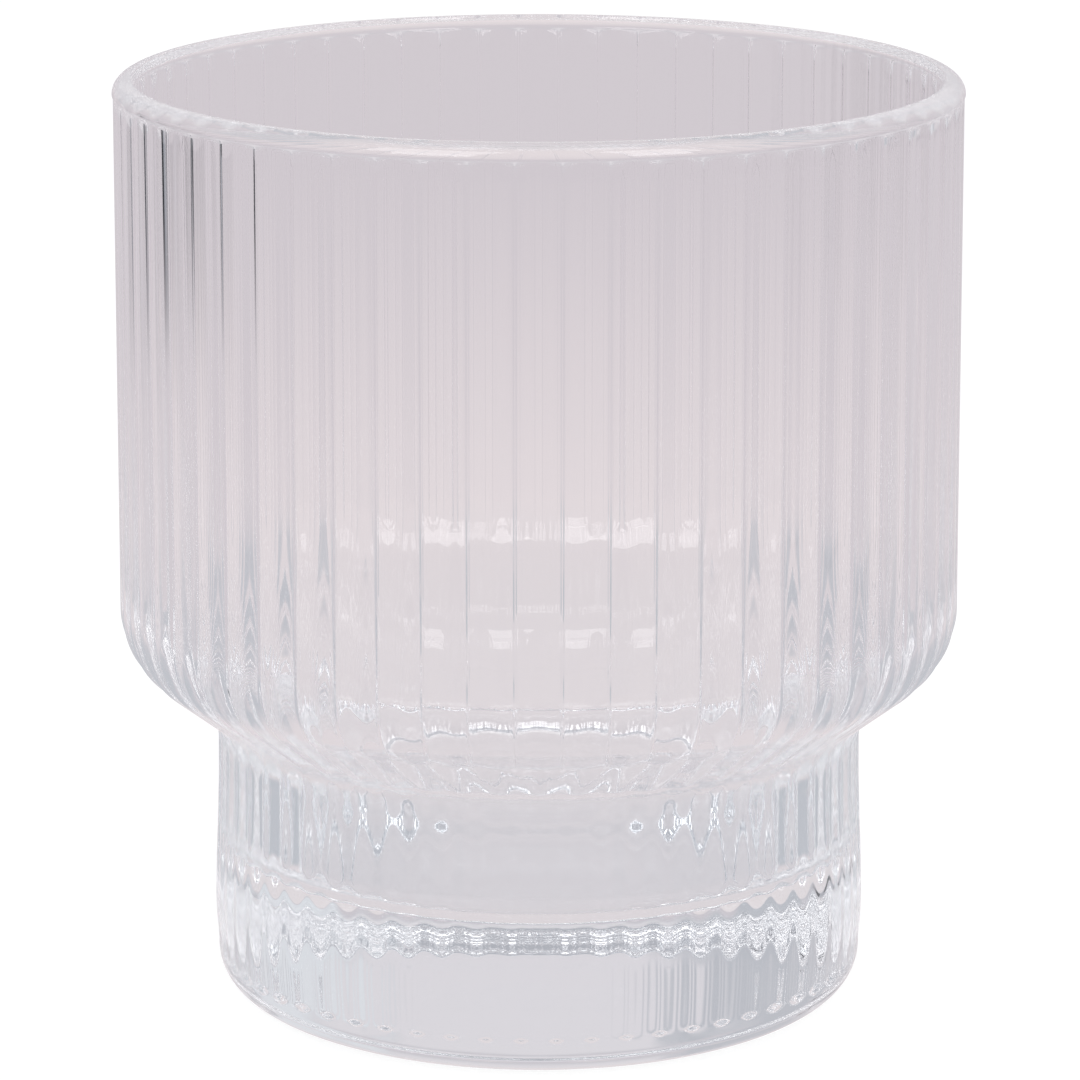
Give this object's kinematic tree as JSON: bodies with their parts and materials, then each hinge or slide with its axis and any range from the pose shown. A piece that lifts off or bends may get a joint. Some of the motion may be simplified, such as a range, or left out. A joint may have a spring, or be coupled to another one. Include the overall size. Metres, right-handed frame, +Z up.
{
  "type": "ribbed chai glass",
  "caption": "Clear stackable chai glass: ribbed bowl over a narrower ribbed foot, with a smooth rounded lip and a thick solid base.",
  "frame": {"origin": "middle of the flat ring that the glass stands on", "axes": "+Z up along the glass's own axis, from the base to the mouth; a rib crest points along +X"},
  "size_m": [0.0824, 0.0824, 0.091],
  "materials": {
    "clear_glass": "polished"
  },
  "bodies": {
    "root": {"tumbler": "clear_glass"}
  },
  "joints": []
}
